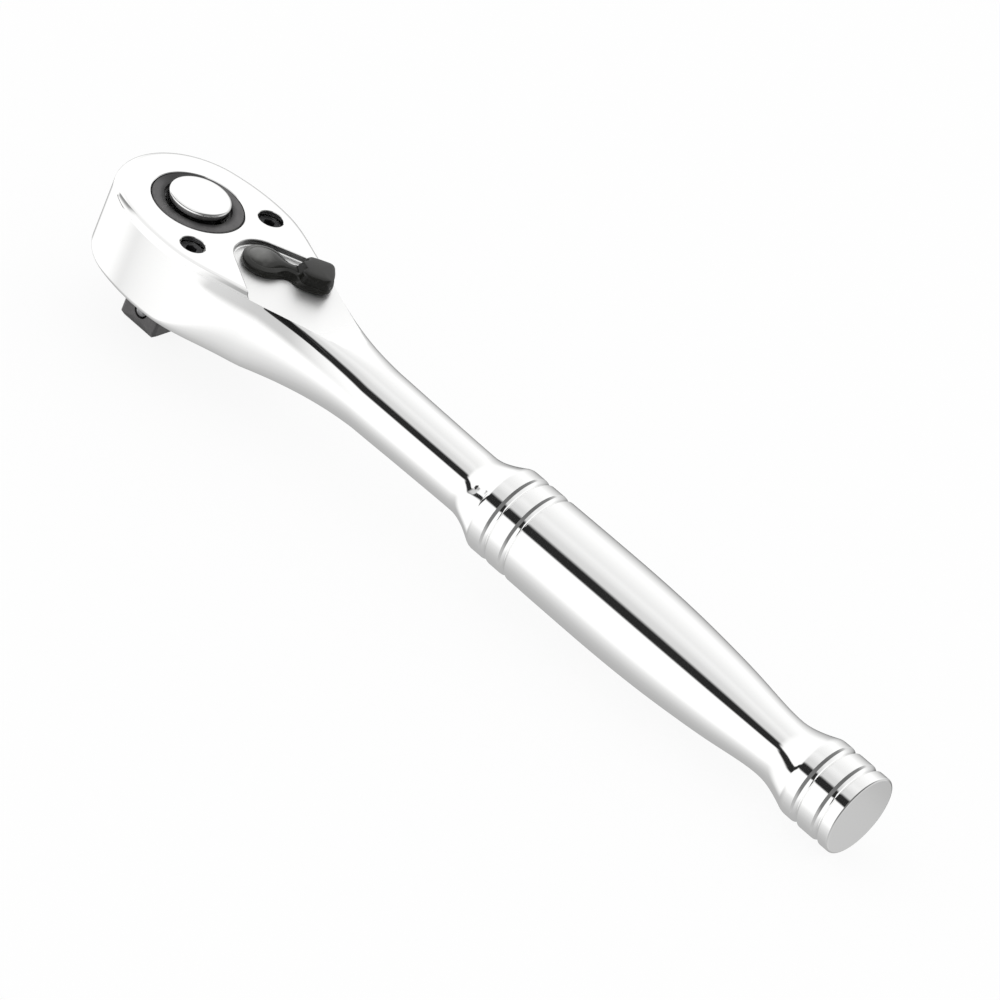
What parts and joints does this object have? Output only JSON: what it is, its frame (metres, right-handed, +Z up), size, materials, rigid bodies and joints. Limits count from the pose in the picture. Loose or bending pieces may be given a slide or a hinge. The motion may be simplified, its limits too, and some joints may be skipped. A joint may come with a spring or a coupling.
{
  "type": "ratchet wrench",
  "caption": "Reversible pear-head ratchet handle with a quick-release square drive, a push button, a reversing lever and a polished metal grip.",
  "frame": {"origin": "on the drive axis, in the plane of the drive's shoulder that a socket seats against", "axes": "+X along the handle to its end, +Y to the side that the lever is thrown to, +Z up out of the lever side of the head; the square drive points along -Z"},
  "size_m": [0.1998, 0.0344, 0.032],
  "materials": {
    "polished_chrome": "mirror-polished chrome plate",
    "button_chrome": "polished chrome plate",
    "satin_steel": "ground steel",
    "dark_steel": "dark phosphated steel, lightly oiled",
    "black_steel": "black oxide",
    "black_lever": "satin black coated die casting",
    "spring_steel": "drawn spring wire and strip",
    "seal_rubber": "matt nitrile rubber"
  },
  "bodies": {
    "root": {"wrench_body": "polished_chrome", "cover_plate": "satin_steel", "cover_screws": "black_steel", "thrust_washer": "satin_steel"},
    "drive": {"drive_gear": "dark_steel", "dust_seal": "seal_rubber", "button_retaining_ring": "dark_steel"},
    "button": {"release_button": "button_chrome", "release_plunger": "satin_steel", "release_spring": "spring_steel"},
    "ball": {"detent_ball": "satin_steel"},
    "lever": {"reversing_lever": "black_lever", "lever_spindle": "satin_steel", "lever_seal": "seal_rubber", "lever_clip": "spring_steel", "lever_detent_pin": "satin_steel", "lever_detent_spring": "spring_steel"},
    "pawl": {"pawl": "dark_steel"}
  },
  "joints": [
    {"name": "drive_turn", "type": "hinge", "parent": "root", "child": "drive", "pos_m": [0, 0, 0], "axis": [0, 0, 1], "continuous": true},
    {"name": "button_press", "type": "slide", "parent": "drive", "child": "button", "axis": [0, 0, -1], "range_m": [0, 0.0025], "stiffness_N_per_m": 600, "springref_m": -0.006, "deforming": ["release_spring"]},
    {"name": "ball_retract", "type": "slide", "parent": "drive", "child": "ball", "axis": [0, 1, 0], "range_m": [0, 0.00075]},
    {"name": "lever_flip", "type": "hinge", "parent": "root", "child": "lever", "pos_m": [0.0188, 0, 0], "axis": [0, 0, 1], "range_deg": [-72, 0]},
    {"name": "pawl_rock", "type": "hinge", "parent": "root", "child": "pawl", "pos_m": [0.0188, 0, 0], "axis": [0, 0, 1], "range_deg": [-8, 0]}
  ],
  "couplings": [
    {"joint": "ball_retract", "follows": "button_press", "ratio": 0.3},
    {"joint": "pawl_rock", "follows": "lever_flip", "ratio": 0.11111}
  ]
}
